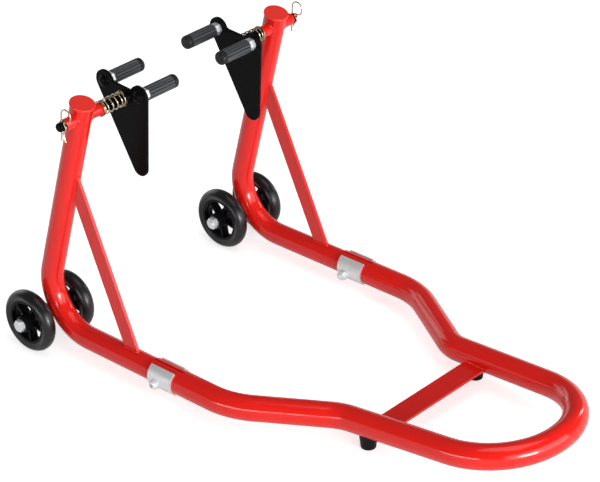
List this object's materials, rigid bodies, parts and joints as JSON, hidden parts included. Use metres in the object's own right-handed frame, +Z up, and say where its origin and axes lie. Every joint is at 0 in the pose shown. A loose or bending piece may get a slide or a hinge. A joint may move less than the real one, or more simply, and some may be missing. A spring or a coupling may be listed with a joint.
{
  "type": "motorcycle front paddock stand",
  "caption": "Bent-tube lifting stand with paired wheels, a U-shaped handle and, on each upright, a sprung swivelling fork plate with ribbed pegs.",
  "frame": {"origin": "on the floor under the middle of the overall box, on the stand's plane of symmetry", "axes": "+Z up; +Y from the handle towards the wheels; +X to the right-hand side; metres"},
  "size_m": [0.5438, 0.866, 0.433],
  "materials": {
    "red_paint": "gloss red powder coat",
    "black_paint": "satin black",
    "zinc": "bright zinc plate",
    "yellow_zinc": "yellow passivated zinc on spring steel",
    "rubber": "matt black rubber",
    "tyre": "matt black solid tyre",
    "hub_plastic": "moulded black nylon"
  },
  "bodies": {
    "frame": {"handle_loop": "red_paint", "cross_bar": "red_paint", "right_side_tube": "red_paint", "right_top_cap": "red_paint", "right_pivot_sleeve": "red_paint", "right_axle_sleeve": "red_paint", "right_brace": "red_paint", "right_rubber_foot": "rubber", "right_outer_saddle": "zinc", "right_inner_saddle": "zinc", "right_clamp_bolt": "zinc", "right_clamp_nut": "zinc", "right_axle_bolt": "zinc", "right_axle_nut": "zinc", "right_axle_washers": "zinc", "right_sleeve_washer": "yellow_zinc", "left_side_tube": "red_paint", "left_top_cap": "red_paint", "left_pivot_sleeve": "red_paint", "left_axle_sleeve": "red_paint", "left_brace": "red_paint", "left_rubber_foot": "rubber", "left_outer_saddle": "zinc", "left_inner_saddle": "zinc", "left_clamp_bolt": "zinc", "left_clamp_nut": "zinc", "left_axle_bolt": "zinc", "left_axle_nut": "zinc", "left_axle_washers": "zinc", "left_sleeve_washer": "yellow_zinc"},
    "right_slider": {"right_thrust_washer": "yellow_zinc", "right_spring": "yellow_zinc"},
    "right_fork": {"right_shaft": "black_paint", "right_spring_clip": "yellow_zinc", "right_fork_plate": "black_paint", "right_rear_peg_bolt": "black_paint", "right_rear_peg_nut": "zinc", "right_rear_peg_grip": "rubber", "right_front_peg_bolt": "black_paint", "right_front_peg_nut": "zinc", "right_front_peg_grip": "rubber"},
    "right_outer_wheel": {"right_outer_tyre": "tyre", "right_outer_wheel_hub": "hub_plastic"},
    "right_inner_wheel": {"right_inner_tyre": "tyre", "right_inner_wheel_hub": "hub_plastic"},
    "left_slider": {"left_thrust_washer": "yellow_zinc", "left_spring": "yellow_zinc"},
    "left_fork": {"left_shaft": "black_paint", "left_spring_clip": "yellow_zinc", "left_fork_plate": "black_paint", "left_rear_peg_bolt": "black_paint", "left_rear_peg_nut": "zinc", "left_rear_peg_grip": "rubber", "left_front_peg_bolt": "black_paint", "left_front_peg_nut": "zinc", "left_front_peg_grip": "rubber"},
    "left_outer_wheel": {"left_outer_tyre": "tyre", "left_outer_wheel_hub": "hub_plastic"},
    "left_inner_wheel": {"left_inner_tyre": "tyre", "left_inner_wheel_hub": "hub_plastic"}
  },
  "joints": [
    {"name": "right_outer_wheel_spin", "type": "hinge", "parent": "frame", "child": "right_outer_wheel", "pos_m": [0.2465, 0.384, 0.049], "axis": [1, 0, 0], "continuous": true},
    {"name": "right_inner_wheel_spin", "type": "hinge", "parent": "frame", "child": "right_inner_wheel", "pos_m": [0.1675, 0.384, 0.049], "axis": [1, 0, 0], "continuous": true},
    {"name": "right_shaft_slide", "type": "slide", "parent": "frame", "child": "right_slider", "axis": [1, 0, 0], "range_m": [-0.0025, 0.018], "stiffness_N_per_m": 6000, "deforming": ["right_spring"]},
    {"name": "right_fork_swivel", "type": "hinge", "parent": "right_slider", "child": "right_fork", "pos_m": [0.2, 0.28876, 0.4], "axis": [1, 0, 0], "continuous": true},
    {"name": "left_outer_wheel_spin", "type": "hinge", "parent": "frame", "child": "left_outer_wheel", "pos_m": [-0.2465, 0.384, 0.049], "axis": [1, 0, 0], "continuous": true},
    {"name": "left_inner_wheel_spin", "type": "hinge", "parent": "frame", "child": "left_inner_wheel", "pos_m": [-0.1675, 0.384, 0.049], "axis": [1, 0, 0], "continuous": true},
    {"name": "left_shaft_slide", "type": "slide", "parent": "frame", "child": "left_slider", "axis": [-1, 0, 0], "range_m": [-0.0025, 0.018], "stiffness_N_per_m": 6000, "deforming": ["left_spring"]},
    {"name": "left_fork_swivel", "type": "hinge", "parent": "left_slider", "child": "left_fork", "pos_m": [-0.2, 0.28876, 0.4], "axis": [1, 0, 0], "continuous": true}
  ]
}
